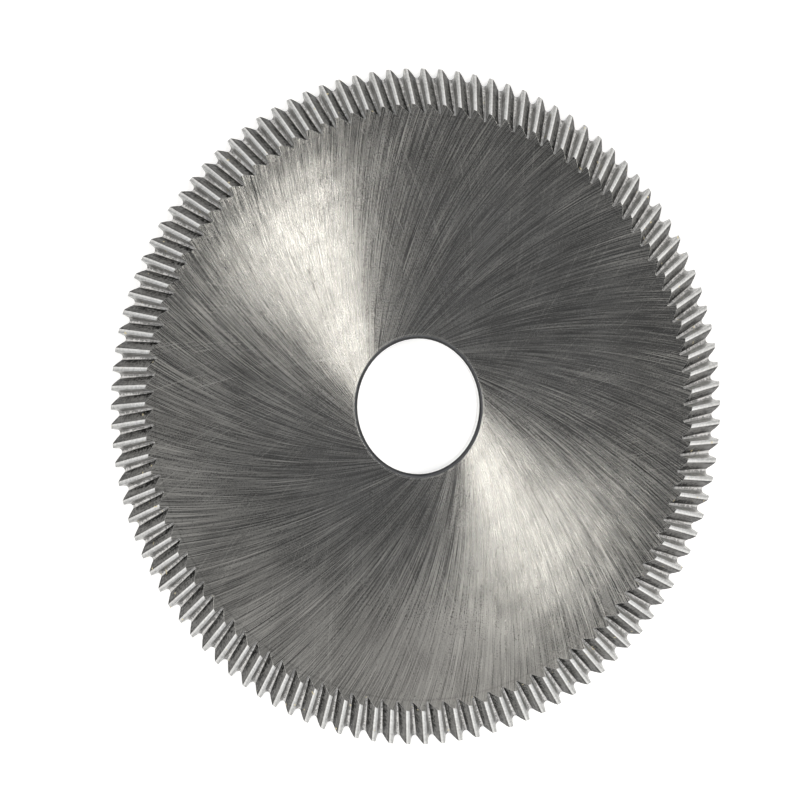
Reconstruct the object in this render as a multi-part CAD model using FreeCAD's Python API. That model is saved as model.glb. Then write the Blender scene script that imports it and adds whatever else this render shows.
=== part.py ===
import FreeCAD, Part
import math
import os

# Toothed cutting wheel for a key duplicating machine: one solid piece of steel.
# Units are millimetres. The wheel turns about Z, its flat back lies on Z = 0 and
# the toothed bevel faces up. The tip of the first tooth points along +X.

# Wheel body
OUTER_DIAMETER = 80.0
THICKNESS = 5.0
BEVEL_ANGLE = 50.0
TIP_FLAT = 0.15

# Bore
BORE_DIAMETER = 16.0
BORE_CHAMFER = 0.45

# Teeth. Lengths and depths are taken at the tip circle; towards the front face
# every tooth shrinks in step with the bevel.
TOOTH_COUNT = 110
LAND_WIDTH = 0.50
LAND_FALL = 0.12
ROOT_DEPTH = 1.24
RAKE_LEAN = 9.0
SKEW_OFFSET = 5.2

# The gullet narrows from a round channel at the back to a V at the front
BACK_ROOT_RADIUS = 0.42
BACK_END_SLOPE = 52.0
FRONT_ROOT_RADIUS = 0.20
FRONT_END_SLOPE = 42.0

AXIS = FreeCAD.Vector(0, 0, 1)
ORIGIN = FreeCAD.Vector(0, 0, 0)


def pitch_angle():
    """Turn from one tooth to the next, in degrees."""
    return 360.0 / TOOTH_COUNT


def rim_point(ahead, depth):
    """A point so far ahead of the first tooth's tip, and so far below it."""
    return FreeCAD.Vector(OUTER_DIAMETER / 2 - depth, ahead, 0)


def tooth_points(root_radius, end_slope):
    """The corners of the first tooth at the tip circle.

    The round root lies ahead of the tooth. The rake face climbs out of it to the
    tip, and the land falls away behind the tip.
    """
    lean = math.radians(RAKE_LEAN)
    slope = math.radians(end_slope)
    depth = ROOT_DEPTH - root_radius
    ahead = depth * math.tan(lean) + root_radius / math.cos(lean)
    foot_depth = depth + root_radius * math.sin(lean)
    return {
        "back_foot": rim_point(
            ahead + root_radius * math.sin(slope), depth + root_radius * math.cos(slope)
        ),
        "root": rim_point(ahead, ROOT_DEPTH),
        "rake_foot": rim_point(foot_depth * math.tan(lean), foot_depth),
        "tip": rim_point(0, 0),
        "land_end": rim_point(-LAND_WIDTH, LAND_FALL),
    }


def shrunk(point, height):
    """The point raised to a height and drawn in towards the point of the bevel's
    cone. The cone's point lies beside the axis, so the teeth run askew.
    """
    rise = height - TIP_FLAT
    scale = 1 - rise / (OUTER_DIAMETER / 2 * math.tan(math.radians(BEVEL_ANGLE)))
    aim = FreeCAD.Vector(0, -SKEW_OFFSET, 0)
    return aim + (point - aim) * scale + FreeCAD.Vector(0, 0, height)


def outline_edges(height, root_radius, end_slope):
    """One tooth's outline at a height: root, rake, land and back.

    The back swells just enough to run smoothly into the root behind it.
    """
    corners = tooth_points(root_radius, end_slope)
    p = {name: shrunk(corner, height) for name, corner in corners.items()}
    to_next = FreeCAD.Rotation(AXIS, -pitch_angle())
    next_foot = to_next.multVec(p["back_foot"])
    slope = math.radians(end_slope)
    foot_run = to_next.multVec(FreeCAD.Vector(-math.sin(slope), -math.cos(slope), 0))
    chord = next_foot - p["land_end"]
    swell = math.tan(chord.getAngle(foot_run) / 2) / 2
    back_middle = p["land_end"] + chord / 2 + AXIS.cross(chord) * swell
    return [
        Part.Arc(p["back_foot"], p["root"], p["rake_foot"]).toShape(),
        Part.makeLine(p["rake_foot"], p["tip"]),
        Part.makeLine(p["tip"], p["land_end"]),
        Part.Arc(p["land_end"], back_middle, next_foot).toShape(),
    ]


def around(shapes):
    """Copies of one tooth's edges or walls turned to every tooth position."""
    ring = []
    for tooth in range(TOOTH_COUNT):
        for shape in shapes:
            turned = shape.copy()
            turned.rotate(ORIGIN, AXIS, pitch_angle() * tooth)
            ring.append(turned)
    return ring


def wall(low, high):
    """The wall between an edge of the back outline and the same edge in front."""
    if low.Curve.TypeId == "Part::GeomLine":
        ends = [vertex.Point for vertex in low.Vertexes + high.Vertexes[::-1]]
        return Part.Face(Part.makePolygon(ends + ends[:1]))
    return Part.makeRuledSurface(low, high)


def toothed_disc():
    """The solid disc with its bevelled ring of teeth, before it is bored.

    The tips come out a little too long at the back, and are turned down to the
    outer diameter, which leaves the tip flat.
    """
    low = outline_edges(0, BACK_ROOT_RADIUS, BACK_END_SLOPE)
    high = outline_edges(THICKNESS, FRONT_ROOT_RADIUS, FRONT_END_SLOPE)
    walls = around([wall(*pair) for pair in zip(low, high)])
    back = Part.Face(Part.Wire(Part.__sortEdges__(around(low))))
    front = Part.Face(Part.Wire(Part.__sortEdges__(around(high))))
    shell = Part.makeShell(walls + [back, front])
    shell.sewShape()
    return Part.Solid(shell).common(Part.makeCylinder(OUTER_DIAMETER / 2, THICKNESS))


def bore():
    """The hole and its two chamfers, as a solid to take away."""
    radius = BORE_DIAMETER / 2
    wide = radius + BORE_CHAMFER
    section = [
        (0, 0),
        (wide, 0),
        (radius, BORE_CHAMFER),
        (radius, THICKNESS - BORE_CHAMFER),
        (wide, THICKNESS),
        (0, THICKNESS),
    ]
    points = [FreeCAD.Vector(r, 0, z) for r, z in section]
    return Part.Face(Part.makePolygon(points + points[:1])).revolve(ORIGIN, AXIS, 360)


os.makedirs("parts", exist_ok=True)
wheel = toothed_disc().cut(bore()).Solids[0]
wheel.exportStep("parts/cutting_wheel.step")
print("valid", wheel.isValid(), "closed", wheel.isClosed(), "faces", len(wheel.Faces))
print("volume", round(wheel.Volume, 1), wheel.BoundBox)
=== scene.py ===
# %% [markdown]
# # A key cutting wheel in ground steel
# The wheel was built as a solid in CAD and packed with its real sizes. This lesson
# loads that solid, gives it the worn edges and the ground steel that make it look
# real, and photographs it from above on a white table.

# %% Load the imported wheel
import math

import bmesh
import bpy
from mathutils import Matrix, Vector


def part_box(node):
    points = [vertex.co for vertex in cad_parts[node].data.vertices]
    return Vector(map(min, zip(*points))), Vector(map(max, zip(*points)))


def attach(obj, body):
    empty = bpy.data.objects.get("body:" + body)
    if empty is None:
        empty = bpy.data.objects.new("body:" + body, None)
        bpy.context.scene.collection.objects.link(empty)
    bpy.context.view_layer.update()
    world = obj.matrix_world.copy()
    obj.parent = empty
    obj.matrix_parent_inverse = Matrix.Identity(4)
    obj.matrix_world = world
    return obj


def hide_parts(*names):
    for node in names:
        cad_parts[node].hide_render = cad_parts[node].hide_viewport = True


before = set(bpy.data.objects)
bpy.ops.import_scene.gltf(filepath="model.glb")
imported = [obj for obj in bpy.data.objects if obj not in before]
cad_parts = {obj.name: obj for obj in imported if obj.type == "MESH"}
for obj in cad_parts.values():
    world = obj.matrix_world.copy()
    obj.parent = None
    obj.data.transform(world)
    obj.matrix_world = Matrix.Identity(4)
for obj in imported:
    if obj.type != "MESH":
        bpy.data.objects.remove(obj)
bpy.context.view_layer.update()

MM = 0.001
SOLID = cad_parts["cutting_wheel"]
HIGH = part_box("cutting_wheel")[1]
RIM_RADIUS = HIGH.x
THICKNESS = HIGH.z
print("wheel across", round(2 * RIM_RADIUS / MM, 2), "mm, thick", round(THICKNESS / MM, 2), "mm")

# %% [markdown]
# ## Shader maths that reads as Python
# A material in Blender is a tree of nodes, and a formula quickly becomes a long list of
# links. This small class wraps a node's output. Adding or multiplying two of them adds
# the Math nodes, so the finishes below can be written as expressions. Its one method
# `node` makes any other kind of node.

# %% A wrapped node output
class Flow:
    """One output in a material's node tree, with arithmetic."""

    def __init__(self, tree, socket=None):
        self.tree = tree
        self.socket = socket

    def node(self, kind, settings=None, inputs=None, output=0):
        """A new node: its settings first, then the values or links of its inputs."""
        made = self.tree.nodes.new(kind)
        for name, value in (settings or {}).items():
            setattr(made, name, value)
        for name, value in (inputs or {}).items():
            if isinstance(value, Flow):
                self.tree.links.new(value.socket, made.inputs[name])
            else:
                made.inputs[name].default_value = value
        return Flow(self.tree, made.outputs[output])

    def maths(self, operation, *values):
        return self.node("ShaderNodeMath", {"operation": operation}, dict(enumerate(values)))

    def __add__(self, other):
        return self.maths("ADD", self, other)

    def __radd__(self, other):
        return self.maths("ADD", other, self)

    def __sub__(self, other):
        return self.maths("SUBTRACT", self, other)

    def __rsub__(self, other):
        return self.maths("SUBTRACT", other, self)

    def __mul__(self, other):
        return self.maths("MULTIPLY", self, other)

    def __rmul__(self, other):
        return self.maths("MULTIPLY", other, self)

    def __truediv__(self, other):
        return self.maths("DIVIDE", self, other)

    def __rtruediv__(self, other):
        return self.maths("DIVIDE", other, self)

    def between(self, low, high):
        """0 below low, 1 above high, and a smooth ramp from one to the other."""
        settings = {"interpolation_type": "SMOOTHSTEP"}
        inputs = {"Value": self, "From Min": low, "From Max": high}
        return self.node("ShaderNodeMapRange", settings, inputs)

    def tint(self, dark, light):
        """A colour that runs from dark to light as this value runs from 0 to 1."""
        settings = {"data_type": "RGBA", "clamp_factor": True}
        inputs = {"Factor": self, 6: (*dark, 1), 7: (*light, 1)}
        return self.node("ShaderNodeMix", settings, inputs, output=2)


print("shader helper ready")

# %% [markdown]
# ## Where a point lies on the wheel
# Every finish on the wheel follows its axis: the face was ground in long arcs and the
# teeth were milled one by one round the rim. So the materials work in millimetres from
# the axis, with a radius and an angle, and not in plain X, Y and Z.

# %% Places in millimetres, a radius and an angle
def place(tree):
    """The point being shaded as x, y, z, radius in millimetres and angle in radians."""
    start = Flow(tree)
    spot = start.node("ShaderNodeTexCoord", output="Object")
    scaled = start.node(
        "ShaderNodeVectorMath", {"operation": "SCALE"}, {0: spot, "Scale": 1 / MM}
    )
    parts = start.node("ShaderNodeSeparateXYZ", None, {0: scaled})
    node = parts.socket.node
    x, y, z = (Flow(tree, node.outputs[i]) for i in range(3))
    radius = x.maths("SQRT", x * x + y * y)
    angle = start.maths("ARCTAN2", y, x)
    return x, y, z, radius, angle


def pattern(x, y, z, detail=2.0, rough=0.5, scale=1.0):
    """Noise from 0 to 1 at the place x, y, z."""
    spot = x.node("ShaderNodeCombineXYZ", None, {0: x, 1: y, 2: z})
    inputs = {"Vector": spot, "Scale": scale, "Detail": detail, "Roughness": rough}
    return x.node("ShaderNodeTexNoise", None, inputs)


print("places are measured from the wheel's axis")

# %% [markdown]
# ## Lines that sweep round the wheel
# Two families of lines cover this wheel. The flat faces were ground on a turning table
# under a cup wheel, and each grain left a long shallow arc: all the arcs are one arc
# turned about the axis. The teeth were milled along straight lines that pass the axis
# at a small distance. In both families every line has a number, the angle it is turned
# by, which stays the same all along it. Noise that changes fast with that number and
# slowly with the radius therefore draws fine streaks in the right direction. The arcs
# crowd together beside the bore, so three sets of streaks are blended from there to the
# rim, and the lines keep their width.

# %% Number the lines and draw streaks along them
ARC_RADIUS = 87.0
ARC_CENTRE = 81.2
TOOTH_LINE_OFFSET = 5.16
TOOTH_COUNT = 110


def arc_number(radius, angle, hand=1):
    """The direction of the centre of the grinding arc through this point."""
    power = ARC_RADIUS ** 2 - ARC_CENTRE ** 2
    lean = (radius - power / radius) / (2 * ARC_CENTRE)
    return angle - hand * lean.maths("ARCCOSINE", lean)


def tooth_number(radius, angle):
    """The angle by which this point's milling line is turned, the same all along it."""
    lean = TOOTH_LINE_OFFSET / radius
    return angle - lean.maths("ARCCOSINE", lean)


def tooth_phase(radius, angle):
    """How far round this point lies from one tooth's tip, 0, to the next one's, 1."""
    first_tip = math.acos(TOOTH_LINE_OFFSET / (RIM_RADIUS / MM))
    turns = (tooth_number(radius, angle) + first_tip) * (TOOTH_COUNT / (2 * math.pi))
    return turns.maths("FRACT", turns + TOOTH_COUNT)


def streaks(number, radius, fineness, fade, detail=2.0, rough=0.6, start=0.0):
    """Noise that is fine across the lines and drawn out along them."""
    across = number.maths("COSINE", number) * fineness
    around = number.maths("SINE", number) * fineness
    return pattern(across, around, radius * fade + start, detail, rough)


def even_streaks(number, radius, fineness, fade, start=0.0):
    """Streaks as fine beside the bore, where the arcs crowd, as they are at the rim."""
    near, middle, outer = (
        streaks(number, radius, fineness * part, fade, 1.0, 0.5, start)
        for part in (0.25, 0.56, 1.0)
    )
    inside = near + (middle - near) * radius.between(9.0, 18.0)
    return inside + (outer - inside) * radius.between(18.0, 32.0)


print("grinding arcs of", ARC_RADIUS, "mm radius about a centre", ARC_CENTRE, "mm out")

# %% [markdown]
# ## Ground steel for the two flat faces
# Each grinding line is a groove finer than a pixel with two sloping sides. A Bump node
# would have to sample such a groove far too coarsely, so the slope itself is the noise
# here, and it tips the normal straight across the arc, towards or away from the arc's
# centre. That spreads reflections across the lines and keeps them tight along them,
# which is what gathers the light in two bright fans.

# %% Helpers for a metal material
def steel(name, metallic=1.0):
    """A new metal material: its tree and its shader node."""
    made = bpy.data.materials.new(name)
    made.use_nodes = True
    shader = made.node_tree.nodes["Principled BSDF"]
    shader.inputs["Metallic"].default_value = metallic
    return made, made.node_tree, shader


def feed(tree, shader, **values):
    """Links each value to the shader's input of that name."""
    for name, value in values.items():
        tree.links.new(value.socket, shader.inputs[name.replace("_", " ")])


def bumped(height, depth):
    """The surface tipped as if it had this height, in units of a depth in mm."""
    inputs = {"Strength": 1.0, "Distance": depth * MM, "Height": height}
    return height.node("ShaderNodeBump", None, inputs)


def tipped(slope, x, y, number):
    """The surface tipped across its grinding arc, by a slope of rise over run."""
    push_x = (x - number.maths("COSINE", number) * ARC_CENTRE) / ARC_RADIUS
    push_y = (y - number.maths("SINE", number) * ARC_CENTRE) / ARC_RADIUS
    push = x.node("ShaderNodeCombineXYZ", None, {0: push_x * slope, 1: push_y * slope})
    turned = {"vector_type": "VECTOR", "convert_from": "OBJECT", "convert_to": "WORLD"}
    push = push.node("ShaderNodeVectorTransform", turned, {0: push})
    normal = x.node("ShaderNodeNewGeometry", output="Normal")
    leaning = x.node("ShaderNodeVectorMath", {"operation": "ADD"}, {0: normal, 1: push})
    return x.node("ShaderNodeVectorMath", {"operation": "NORMALIZE"}, {0: leaning})


print("a slope tips the normal across its arc")

# %% [markdown]
# ## The marks on the ground faces
# The lines that the eye can follow are coarser than those grooves: dense fine lines,
# single lighter and darker scratches, and the grain of the steel. They change the
# roughness most of all, since a rough line catches stray light where polished steel
# stays dark. Hairline scratches cross the arcs the other way, a faint circle was
# scribed just inside the teeth, and there are a few dark specks and broad faint
# smudges. A thin ring round the bore is a burr, rougher than the face, and a painted
# highlight, painted lighter than the face.

# %% Lines, rings and specks
SCRIBED_RADIUS = 34.6
BURR_HIGHLIGHT_RADIUS = 8.58
LINE_FINENESS = 540.0
SCRATCH_FINENESS = 460.0
CROSSING_FINENESS = 260.0
GROOVE_FINENESS = 5000.0


def ring(radius, middle, core, reach):
    """A thin ring: 1 out to its core from the circle, 0 beyond its reach."""
    return 1 - radius.maths("ABSOLUTE", radius - middle).between(core, reach)


def scratches(number, radius, start):
    """Single long scratches along the grinding arcs."""
    return even_streaks(number, radius, SCRATCH_FINENESS, 0.08, start).between(0.59, 0.69)


print("lines, scratches, a scribed circle and a burr round the bore")

# %% [markdown]
# ## One steel from all of these
# The slopes are widest near the bore, where the light fans out brightest, and narrower
# near the rim. The lower left of the face is worn: it is rougher, and its glow is
# broad. On the right the grooves are a little shallower, so that fan ends sooner.

# %% Ground steel
def ground_steel():
    made, tree, shader = steel("ground steel")
    x, y, z, radius, angle = place(tree)
    number = arc_number(radius, angle)
    lines = even_streaks(number, radius, LINE_FINENESS, 0.14).between(0.42, 0.58)
    single = scratches(number, radius, 5.0) - scratches(number, radius, 9.0)
    grain = pattern(x, y, z, detail=1.0, rough=0.6, scale=5.0).between(0.35, 0.65)
    marks = (lines - 0.5) * 0.95 + single * 1.15 + (grain - 0.5) * 0.4
    crossing = arc_number(radius, angle, hand=-1)
    hairs = streaks(crossing, radius, CROSSING_FINENESS, 0.12, detail=0.0).between(0.70, 0.75)
    scribed = ring(radius, SCRIBED_RADIUS, 0.04, 0.18) * (0.4 - lines * 0.2)
    patchy = pattern(x, y, z, scale=0.8).between(0.35, 0.60)
    # The ring round the bore is a burr, rougher than the face, and a painted highlight, painted
    # lighter than the face.
    burr_highlight = ring(radius, BURR_HIGHLIGHT_RADIUS, 0.02, 0.10) * patchy
    specks = pattern(x, y, z, detail=0.0, scale=3.5).between(0.78, 0.82)
    smudge = pattern(x, y, z, detail=2.0, rough=0.5, scale=0.14).between(0.35, 0.65)
    shade = 0.36 + smudge * 0.28 + burr_highlight * 0.9 + marks * 0.6 + hairs * 0.3 - scribed - specks
    colour = shade.tint((0.255, 0.255, 0.25), (0.485, 0.485, 0.48))
    worn = (x * -0.4 - y * 0.9).between(-4.0, 34.0) * radius.between(8.0, 30.0)
    rough = 0.225 + burr_highlight * 0.16 + marks * 0.155 + hairs * 0.09 + worn * 0.20
    grooves = streaks(number, radius, GROOVE_FINENESS, 0.30, detail=0.0)
    faded = (x * 0.8 - y * 0.3).between(12.0, 24.0)
    to_rim = radius.between(24.0, 36.0)
    spread = 2.2 - worn * 0.5 - faded * 0.40 - to_rim * (1.1 - worn * 0.9)
    slope = (grooves - 0.5) * spread + marks * 0.015
    feed(tree, shader, Base_Color=colour, Roughness=rough, Normal=tipped(slope, x, y, number))
    return made


print("ground steel with a scribed circle of", SCRIBED_RADIUS, "mm radius")

# %% [markdown]
# ## Turned steel for the bore
# The bore and its chamfers were turned on a lathe, so their lines run round the axis.
# The wall is smooth and bright and mirrors the white table. The narrow chamfer is
# nearly black in the photograph, so it has a finish of its own: it is painted dark as
# painted shade, darkest along its inner edge.

# %% Turned steel
def turned_steel(name, dark, light, roughness):
    made, tree, shader = steel(name)
    z, radius, angle = place(tree)[2:]
    rings = pattern(radius * 14.0, z * 14.0, angle * 3.0, detail=2.0)
    # On the chamfer the radius term is painted shade, darkest along its inner edge; the bore
    # wall lies inside it and stays at the low end.
    lightness = rings.between(0.35, 0.65) * 0.4 + radius.between(8.05, 8.45) * 0.6
    colour = lightness.tint(dark, light)
    rough = roughness + rings * 0.1
    feed(tree, shader, Base_Color=colour, Roughness=rough, Normal=bumped(rings, 0.004))
    return made


print("turned steel for the bore and its chamfers")

# %% [markdown]
# ## Milled and ground steel for the teeth
# The gullets keep the torn, mottled skin that milling leaves, and the lands were ground
# afterwards. Their colours are lit and shaded copies of one steel: the backs are painted
# dark as painted shade, and the lands and roots are painted bright as painted light. The
# phase, how far round a point lies from one tooth's tip to the next, paints light and
# shade across each face of the tooth, and a few grains of dust are still caught in the
# gullets.

# %% Milled steel
DUST_COLOUR = (0.62, 0.55, 0.36, 1)


def tooth_steel(name, dark, light, roughness, shade=None):
    """Milled steel, darker and lighter in patches and in bands along each tooth, with painted
    light and shade across the tooth where a shade is given.
    """
    made, tree, shader = steel(name)
    x, y, z, radius, angle = place(tree)
    lines = streaks(tooth_number(radius, angle), radius, 260.0, 0.3, detail=2.0)
    mottle = pattern(x, y, z, detail=2.0, rough=0.7, scale=2.8)
    skin = lines * 0.4 + mottle * 0.6
    lightness = skin.between(0.43, 0.57)
    if shade:
        lightness = shade(tooth_phase(radius, angle), radius, lightness)
    dust = pattern(x + 31.0, y, z, detail=1.0, scale=1.3).between(0.75, 0.77)
    inputs = {"Factor": dust, 6: lightness.tint(dark, light), 7: DUST_COLOUR}
    colour = dust.node("ShaderNodeMix", {"data_type": "RGBA"}, inputs, output=2)
    rough = roughness + skin * 0.2
    feed(tree, shader, Base_Color=colour, Roughness=rough, Normal=bumped(skin, 0.02))
    return made


def back_painted_shade(phase, radius, lightness):
    """Painted shade: darkest in the ragged corner beside the root, and dull at the outer end."""
    ragged = phase + (lightness - 0.5) * 0.14
    clear_of_painted_corner_shade = ragged.between(0.38, 0.62)
    painted_outer_end_shade = radius.between(38.0, 39.6)
    return lightness * 0.5 - 0.05 + clear_of_painted_corner_shade * 0.6 - painted_outer_end_shade * 0.3


def root_painted_light(phase, radius, lightness):
    """Painted light: bright where it climbs to the rake face and where it meets the back."""
    ragged = phase + (lightness - 0.5) * 0.05
    painted_light_by_rake = 1 - ragged.between(0.10, 0.22)
    painted_light_by_back = ragged.between(0.27, 0.31)
    return lightness * 0.6 - 0.12 + painted_light_by_rake * 0.65 + painted_light_by_back * 0.65


def land_painted_light(phase, radius, lightness):
    """Painted highlight along the edge of the back, with painted shade towards the tip and the
    outer end.
    """
    painted_shade_by_tip = phase.between(0.84, 0.94)
    painted_outer_end_shade = radius.between(35.0, 39.5)
    return 0.75 + lightness * 0.35 - painted_shade_by_tip * 0.45 - painted_outer_end_shade * 0.35


print("tooth steel is shaded across each of", TOOTH_COUNT, "teeth")

# %% All the finishes, in the order of their slots
FINISHES = [
    ground_steel(),
    # The back, land and root steels are lit and shaded copies of one steel: painted shade on the
    # backs, painted light on the lands and roots.
    tooth_steel("back steel with painted shade", (0.012, 0.012, 0.012), (0.21, 0.207, 0.20), 0.36, back_painted_shade),
    tooth_steel("land steel with painted light", (0.36, 0.36, 0.355), (0.76, 0.76, 0.75), 0.22, land_painted_light),
    turned_steel("bore steel", (0.66, 0.66, 0.65), (0.78, 0.78, 0.77), 0.06),
    tooth_steel("root steel with painted light", (0.19, 0.188, 0.184), (0.68, 0.672, 0.66), 0.28, root_painted_light),
    turned_steel("chamfer steel with painted shade", (0.03, 0.031, 0.035), (0.20, 0.20, 0.20), 0.14),
    tooth_steel("rake steel", (0.42, 0.42, 0.41), (0.66, 0.66, 0.65), 0.36),
]
print("materials", [finish.name for finish in FINISHES])

# %% [markdown]
# ## The wheel with its edges broken
# A solid from CAD has perfectly sharp edges, and no real edge is. A copy of its mesh is
# joined up, its flat faces are made whole again, and every face gets its finish by
# where it lies and which way it looks. A narrow bevel then rounds every edge so that it
# catches the light, and it is as bright as the lands, since it takes their finish with
# its painted light.

# %% Sort the faces by finish
GROUND, BACK, LAND, BORE, ROOT, CHAMFER, RAKE = range(7)


def finish_of(face):
    """Which finish a face has, from where it lies and which way it looks."""
    if all(vertex.co.xy.length < 0.5 * RIM_RADIUS for vertex in face.verts):
        return BORE if abs(face.normal.z) < 0.2 else CHAMFER
    if abs(face.normal.z) > 0.99:
        return GROUND
    middle = face.calc_center_median()
    outward = Vector((middle.x, middle.y, 0)).normalized()
    ahead = Vector((-outward.y, outward.x, 0))
    leaning = face.normal.dot(ahead)
    if -0.30 < leaning < -0.10 and face.calc_area() > 2 * MM * MM:
        return LAND
    if leaning < -0.50:
        return BACK
    return RAKE if leaning > 0.95 else ROOT


print("faces are sorted into", len(FINISHES), "finishes")

# %% Copy the solid's mesh and break its edges
EDGE_BREAK = 0.07 * MM


def wheel_mesh():
    shape = bmesh.new()
    shape.from_mesh(SOLID.data)
    bmesh.ops.remove_doubles(shape, verts=shape.verts, dist=0.001 * MM)
    bmesh.ops.dissolve_limit(
        shape, angle_limit=math.radians(0.5), verts=shape.verts, edges=shape.edges
    )
    shape.normal_update()
    for face in shape.faces:
        face.smooth = abs(face.normal.z) < 0.99
        face.material_index = finish_of(face)
    sorted_faces = [face.material_index for face in shape.faces]
    mesh = bpy.data.meshes.new("cutting wheel")
    shape.to_mesh(mesh)
    shape.free()
    print("faces of each finish:", [sorted_faces.count(i) for i in range(len(FINISHES))])
    return mesh


wheel = bpy.data.objects.new("finished_wheel", wheel_mesh())
bpy.context.scene.collection.objects.link(wheel)
for finish in FINISHES:
    wheel.data.materials.append(finish)
bevel = wheel.modifiers.new("broken edges", "BEVEL")
bevel.width = EDGE_BREAK
bevel.segments = 2
bevel.limit_method = "ANGLE"
bevel.angle_limit = math.radians(20)
bevel.harden_normals = True
# The bevel takes the land finish, so every broken edge carries its painted light.
bevel.material = LAND
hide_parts("cutting_wheel")
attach(wheel, "root")
print("edges broken by", EDGE_BREAK / MM, "mm")

# %% [markdown]
# ## The table and the light
# The wheel lies on a table that glows white, as the paper under a shop's pictures does,
# and a little less on its far side. The room is pale low down and dark overhead, so the
# flat face, which mirrors what is above it, goes dark, while the tooth lands, which
# mirror the table, stay bright. Two soft warm lamps stand on opposite sides, and the
# face lights up in two fans, where its grooves run square to the lamps.

# %% Table and room
def table():
    shape = bmesh.new()
    bmesh.ops.create_grid(shape, x_segments=1, y_segments=1, size=10.0)
    mesh = bpy.data.meshes.new("table")
    shape.to_mesh(mesh)
    shape.free()
    top = bpy.data.objects.new("table", mesh)
    bpy.context.scene.collection.objects.link(top)
    paint, tree, shader = steel("white table", metallic=0.0)
    x, y = place(tree)[:2]
    glow = (x * 0.3 - y).between(-70.0, 70.0).tint((0.70, 0.70, 0.70), (1, 1, 1))
    shader.inputs["Base Color"].default_value = (0.6, 0.6, 0.6, 1)
    shader.inputs["Roughness"].default_value = 0.8
    shader.inputs["Specular IOR Level"].default_value = 0.1
    shader.inputs["Emission Strength"].default_value = 0.90
    feed(tree, shader, Emission_Color=glow)
    mesh.materials.append(paint)
    return top


def room():
    world = bpy.data.worlds.new("studio")
    world.use_nodes = True
    tree = world.node_tree
    start = Flow(tree)
    way = start.node("ShaderNodeTexCoord", output="Generated")
    up = start.node("ShaderNodeSeparateXYZ", None, {0: way}, output=2)
    colour = up.between(0.10, 0.60).tint((0.85, 0.86, 0.88), (0.16, 0.16, 0.16))
    tree.links.new(colour.socket, tree.nodes["Background"].inputs["Color"])
    bpy.context.scene.world = world


table()
room()
print("a white table and a room that is dark overhead")

# %% Two soft lamps
LAMP_COLOUR = (1.0, 0.96, 0.88)
LAMP_WIDTH = 0.31
LAMP_HEIGHT = 0.30
LAMP_DISTANCE = 0.8
LAMP_TILT = math.radians(42)
RIGHT_AZIMUTH = math.radians(16.5)
LEFT_AZIMUTH = math.radians(196.5)


def lamp(name, azimuth, power):
    """A soft lamp that looks at the wheel, tilted from straight overhead."""
    light = bpy.data.lights.new(name, "AREA")
    light.shape = "RECTANGLE"
    light.size = LAMP_WIDTH
    light.size_y = LAMP_HEIGHT
    light.energy = power
    light.color = LAMP_COLOUR
    holder = bpy.data.objects.new(name, light)
    level = Vector((math.cos(azimuth), math.sin(azimuth), 0))
    way = level * math.sin(LAMP_TILT) + Vector((0, 0, math.cos(LAMP_TILT)))
    holder.location = way * LAMP_DISTANCE
    holder.rotation_euler = way.to_track_quat("Z", "Y").to_euler()
    bpy.context.scene.collection.objects.link(holder)


lamp("right_lamp", RIGHT_AZIMUTH, 2.95)
lamp("left_lamp", LEFT_AZIMUTH, 2.42)
print("lamps to the right and to the left of the wheel")

# %% [markdown]
# ## The camera
# The photograph looks nearly straight down through a long lens, and its picture is
# narrower than it is tall: the round wheel comes out 0.9035 as wide as high. A view
# camera does that when its back is tilted, which stretches the picture in one direction
# and leaves the subject alone. The camera here is held the same way. Its stand leans and
# nods by a few degrees, which puts the bore a little off the middle of the rim as in the
# photograph, and a small turn brings the first tooth to its place.

# %% A view camera with a tilted back
LENS = 1400.0
PICTURE_WIDTH = 800
WHEEL_WIDTH_IN_PICTURE = 611.2
WIDTH_TO_HEIGHT = 0.9035
LEAN = math.radians(4.4)
NOD = math.radians(-2.0)
TURN = math.radians(-0.60)
AIM = Vector((-2.05 * MM, 0.61 * MM, 0))


def view_camera():
    data = bpy.data.cameras.new("camera")
    data.lens = LENS
    data.sensor_width = 36.0
    camera = bpy.data.objects.new("camera", data)
    stand = bpy.data.objects.new("camera_stand", None)
    for part in (camera, stand):
        bpy.context.scene.collection.objects.link(part)
    seen = 2 * RIM_RADIUS * PICTURE_WIDTH / WHEEL_WIDTH_IN_PICTURE
    distance = seen * LENS / data.sensor_width
    turned = Matrix.Rotation(TURN, 4, "Z") @ Matrix.Rotation(-LEAN, 4, "Y")
    turned = turned @ Matrix.Rotation(NOD, 4, "X")
    stand.matrix_world = Matrix.Translation(AIM) @ turned @ Matrix.Translation((0, 0, distance))
    tilt = math.acos(WIDTH_TO_HEIGHT)
    back = Matrix.Identity(4)
    back[1][1] = math.cos(tilt)
    back[2][1] = math.sin(tilt)
    camera.parent = stand
    camera.matrix_parent_inverse = back
    bpy.context.scene.camera = camera
    print("camera", round(distance, 3), "m above the wheel")


view_camera()
bpy.context.scene.view_settings.view_transform = "Standard"
